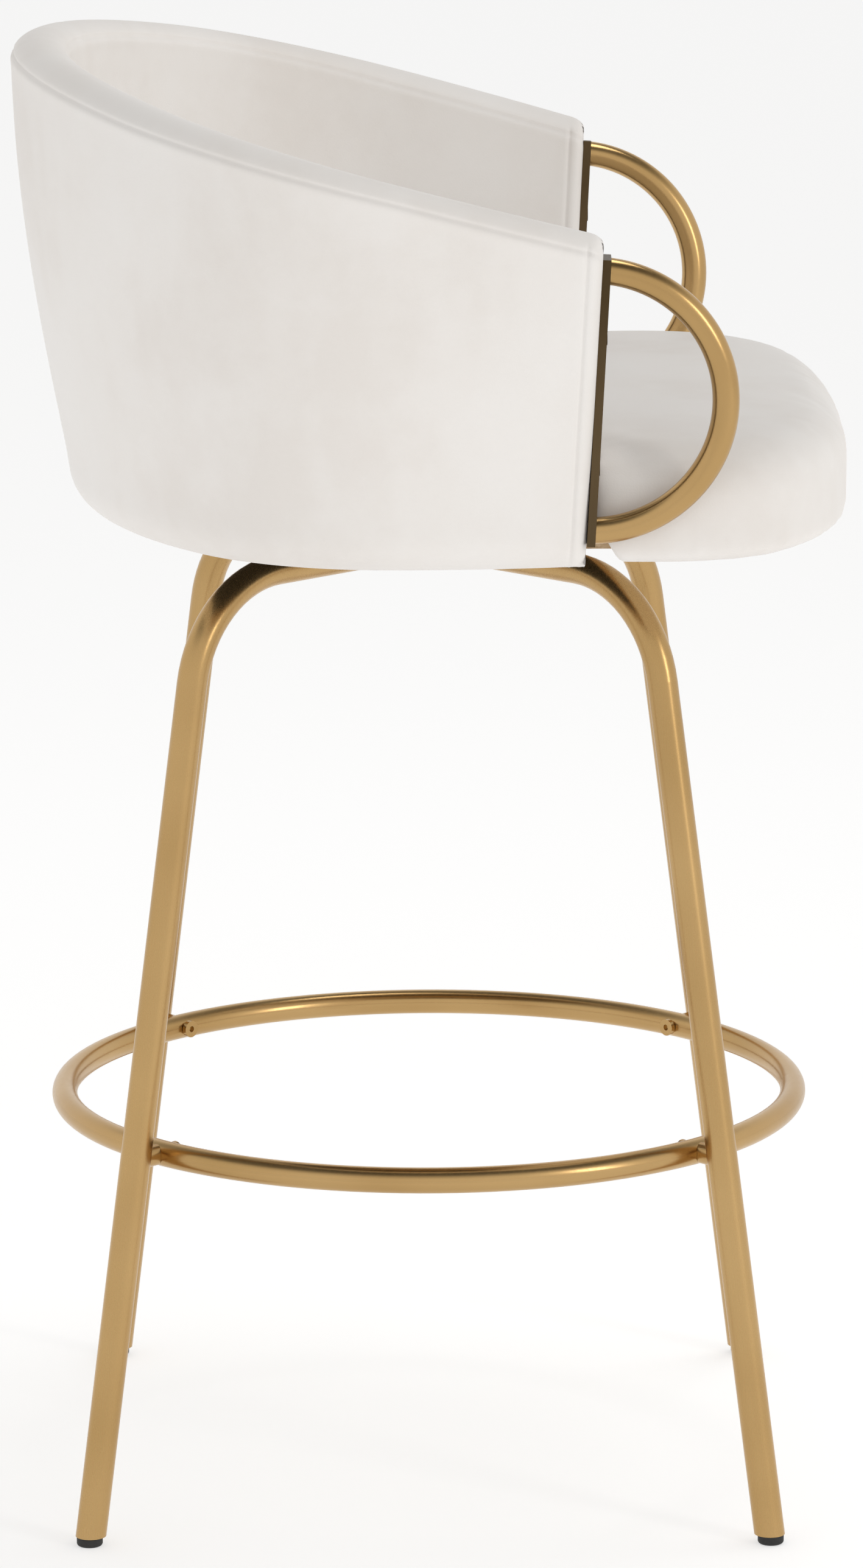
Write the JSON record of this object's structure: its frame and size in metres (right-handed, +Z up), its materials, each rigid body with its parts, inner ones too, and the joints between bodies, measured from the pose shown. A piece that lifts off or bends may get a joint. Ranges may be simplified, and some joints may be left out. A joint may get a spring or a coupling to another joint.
{
  "type": "bar stool with footrest",
  "caption": "Swivel bar stool with a wrap-around padded back, a deep seat cushion, half-moon metal arm loops, splayed tube legs and a round footrest.",
  "frame": {"origin": "on the floor, on the swivel axis", "axes": "+Z up, -Y is the way the sitter faces, +X is the sitter's left"},
  "size_m": [0.6335, 0.5219, 0.923],
  "materials": {
    "gold_tube": "satin gold plating",
    "gold_fastener": "satin gold plating",
    "zinc_steel": "zinc plated",
    "foot_rubber": "matte",
    "plywood": "unfinished",
    "dust_cloth": "matte",
    "upholstery": "soft satin upholstery over foam"
  },
  "bodies": {
    "base": {"base_bolts": "zinc_steel", "base_nuts": "zinc_steel", "base_plate": "gold_tube", "foot_cap_back_left": "foot_rubber", "foot_cap_back_right": "foot_rubber", "foot_cap_front_left": "foot_rubber", "foot_cap_front_right": "foot_rubber", "footrest_ring": "gold_tube", "footrest_rivet_nuts": "zinc_steel", "footrest_saddles": "gold_fastener", "footrest_screws": "gold_fastener", "leg_back_left": "gold_tube", "leg_back_right": "gold_tube", "leg_front_left": "gold_tube", "leg_front_right": "gold_tube", "leg_hub": "gold_tube", "swivel_balls": "zinc_steel", "swivel_lower_plate": "zinc_steel", "swivel_pivot": "zinc_steel"},
    "seat": {"arm_bar_left": "gold_tube", "arm_bar_right": "gold_tube", "arm_bolts": "zinc_steel", "arm_loop_left": "gold_tube", "arm_loop_right": "gold_tube", "dust_cover": "dust_cloth", "front_edge_pad_left": "upholstery", "front_edge_pad_right": "upholstery", "front_post_left": "plywood", "front_post_right": "plywood", "inner_pad": "upholstery", "outer_cover": "upholstery", "rim_roll": "upholstery", "seat_board": "plywood", "seat_bolts": "zinc_steel", "seat_cushion": "upholstery", "seat_tee_nuts": "zinc_steel", "shell_core": "plywood", "shell_screws": "zinc_steel", "spacer_board": "plywood", "swivel_upper_plate": "zinc_steel"}
  },
  "joints": [
    {"name": "seat_swivel", "type": "hinge", "parent": "base", "child": "seat", "pos_m": [0, 0, 0.6135], "axis": [0, 0, 1], "continuous": true}
  ]
}
